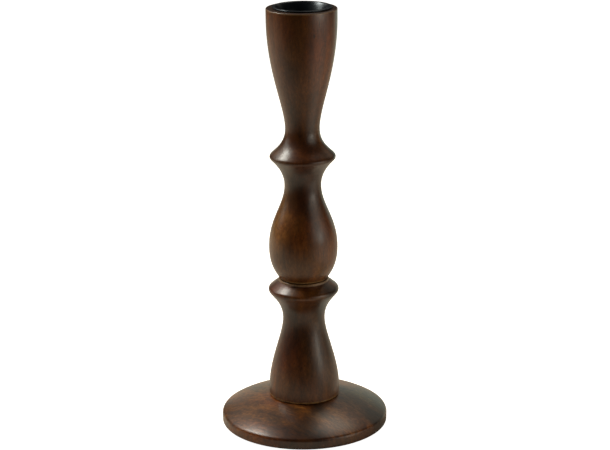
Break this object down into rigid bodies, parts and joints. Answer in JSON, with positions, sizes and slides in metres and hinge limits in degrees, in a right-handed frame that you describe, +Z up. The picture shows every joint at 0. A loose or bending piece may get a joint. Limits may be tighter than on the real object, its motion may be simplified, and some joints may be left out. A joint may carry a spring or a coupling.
{
  "type": "candlestick",
  "caption": "Turned wooden candlestick with vase, ridge collars, bulb and flared foot on a domed round base, with a lift-out black metal candle cup.",
  "frame": {"origin": "on the ground, centred under the base", "axes": "+Z up along the turned stem's axis; the object looks the same from every side apart from the cup, which sits 0.35 mm towards +X"},
  "size_m": [0.0982, 0.0982, 0.2502],
  "materials": {
    "walnut_lacquer": "dark walnut stain under satin lacquer",
    "black_metal": "black satin enamel",
    "beech": "bare",
    "zinc_steel": "zinc plated",
    "black_felt": "pressed felt"
  },
  "bodies": {
    "stand": {"upper_stem": "walnut_lacquer", "lower_stem": "walnut_lacquer", "stem_dowel": "beech", "base": "walnut_lacquer", "base_screw": "zinc_steel", "base_washer": "zinc_steel", "felt_pad": "black_felt"},
    "cup": {"candle_cup": "black_metal"}
  },
  "joints": [
    {"name": "cup_lift", "type": "slide", "parent": "stand", "child": "cup", "axis": [0, 0, 1], "range_m": [0, 0.03]}
  ]
}
